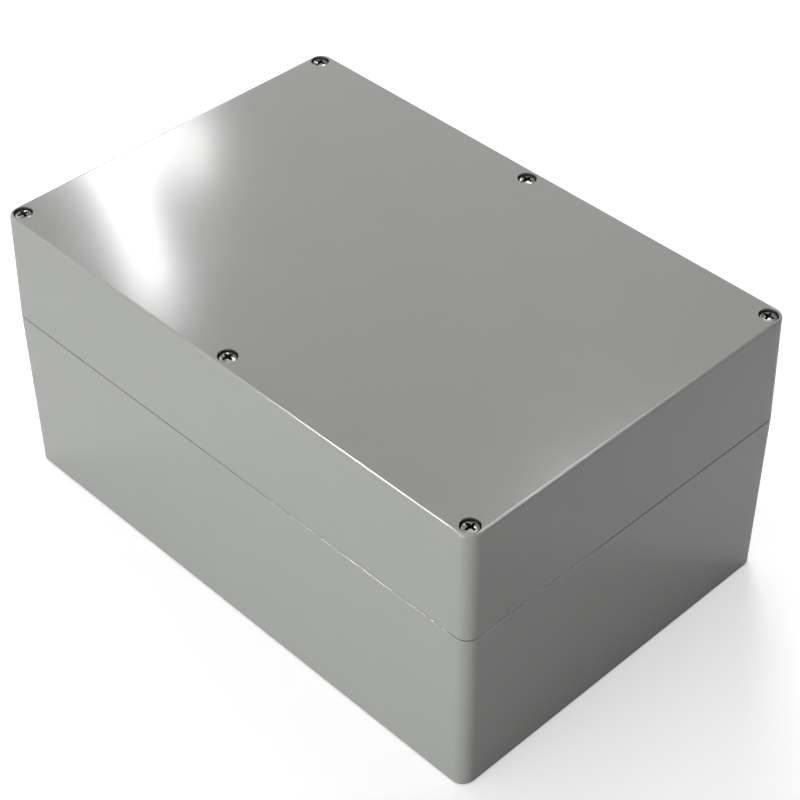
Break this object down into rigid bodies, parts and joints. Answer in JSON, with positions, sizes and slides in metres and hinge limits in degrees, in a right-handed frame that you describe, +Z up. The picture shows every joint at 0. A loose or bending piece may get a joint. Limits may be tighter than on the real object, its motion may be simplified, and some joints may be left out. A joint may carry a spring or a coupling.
{
  "type": "abs enclosure",
  "caption": "Sealed screw-lid plastic instrument box: deep drafted base and deep lid meet at a tongue-and-groove seam, with captive cross-recess screws in corner and side columns.",
  "frame": {"origin": "centre of the underside", "axes": "+X along the longest side, +Y along the shorter side, +Z up through the lid"},
  "size_m": [0.24, 0.16, 0.12],
  "materials": {
    "abs_grey": "satin moulded",
    "steel": "bright stainless",
    "brass": "turned and knurled",
    "seal_rubber": "matt",
    "nylon": "matt"
  },
  "bodies": {
    "base": {"base": "abs_grey", "insert_front_left": "brass", "insert_front_middle": "brass", "insert_front_right": "brass", "insert_back_left": "brass", "insert_back_middle": "brass", "insert_back_right": "brass"},
    "lid": {"lid": "abs_grey", "gasket": "seal_rubber"},
    "retainer_front_left": {"retainer_front_left": "nylon"},
    "screw_front_left": {"screw_front_left": "steel"},
    "retainer_front_middle": {"retainer_front_middle": "nylon"},
    "screw_front_middle": {"screw_front_middle": "steel"},
    "retainer_front_right": {"retainer_front_right": "nylon"},
    "screw_front_right": {"screw_front_right": "steel"},
    "retainer_back_left": {"retainer_back_left": "nylon"},
    "screw_back_left": {"screw_back_left": "steel"},
    "retainer_back_middle": {"retainer_back_middle": "nylon"},
    "screw_back_middle": {"screw_back_middle": "steel"},
    "retainer_back_right": {"retainer_back_right": "nylon"},
    "screw_back_right": {"screw_back_right": "steel"}
  },
  "joints": [
    {"name": "lid_lift", "type": "slide", "parent": "base", "child": "lid", "axis": [0, 0, 1], "range_m": [0, 0.08]},
    {"name": "front_left_rise", "type": "slide", "parent": "lid", "child": "retainer_front_left", "axis": [0, 0, 1], "range_m": [0, 0.0063]},
    {"name": "front_left_turn", "type": "hinge", "parent": "retainer_front_left", "child": "screw_front_left", "pos_m": [-0.1145, -0.074, 0.1171], "axis": [0, 0, 1], "range_deg": [0, 3240]},
    {"name": "front_middle_rise", "type": "slide", "parent": "lid", "child": "retainer_front_middle", "axis": [0, 0, 1], "range_m": [0, 0.0063]},
    {"name": "front_middle_turn", "type": "hinge", "parent": "retainer_front_middle", "child": "screw_front_middle", "pos_m": [0, -0.074, 0.1171], "axis": [0, 0, 1], "range_deg": [0, 3240]},
    {"name": "front_right_rise", "type": "slide", "parent": "lid", "child": "retainer_front_right", "axis": [0, 0, 1], "range_m": [0, 0.0063]},
    {"name": "front_right_turn", "type": "hinge", "parent": "retainer_front_right", "child": "screw_front_right", "pos_m": [0.1145, -0.074, 0.1171], "axis": [0, 0, 1], "range_deg": [0, 3240]},
    {"name": "back_left_rise", "type": "slide", "parent": "lid", "child": "retainer_back_left", "axis": [0, 0, 1], "range_m": [0, 0.0063]},
    {"name": "back_left_turn", "type": "hinge", "parent": "retainer_back_left", "child": "screw_back_left", "pos_m": [-0.1145, 0.074, 0.1171], "axis": [0, 0, 1], "range_deg": [0, 3240]},
    {"name": "back_middle_rise", "type": "slide", "parent": "lid", "child": "retainer_back_middle", "axis": [0, 0, 1], "range_m": [0, 0.0063]},
    {"name": "back_middle_turn", "type": "hinge", "parent": "retainer_back_middle", "child": "screw_back_middle", "pos_m": [0, 0.074, 0.1171], "axis": [0, 0, 1], "range_deg": [0, 3240]},
    {"name": "back_right_rise", "type": "slide", "parent": "lid", "child": "retainer_back_right", "axis": [0, 0, 1], "range_m": [0, 0.0063]},
    {"name": "back_right_turn", "type": "hinge", "parent": "retainer_back_right", "child": "screw_back_right", "pos_m": [0.1145, 0.074, 0.1171], "axis": [0, 0, 1], "range_deg": [0, 3240]}
  ],
  "couplings": [
    {"joint": "front_left_turn", "follows": "front_left_rise", "rad_per_m": 8976},
    {"joint": "front_middle_turn", "follows": "front_middle_rise", "rad_per_m": 8976},
    {"joint": "front_right_turn", "follows": "front_right_rise", "rad_per_m": 8976},
    {"joint": "back_left_turn", "follows": "back_left_rise", "rad_per_m": 8976},
    {"joint": "back_middle_turn", "follows": "back_middle_rise", "rad_per_m": 8976},
    {"joint": "back_right_turn", "follows": "back_right_rise", "rad_per_m": 8976}
  ]
}
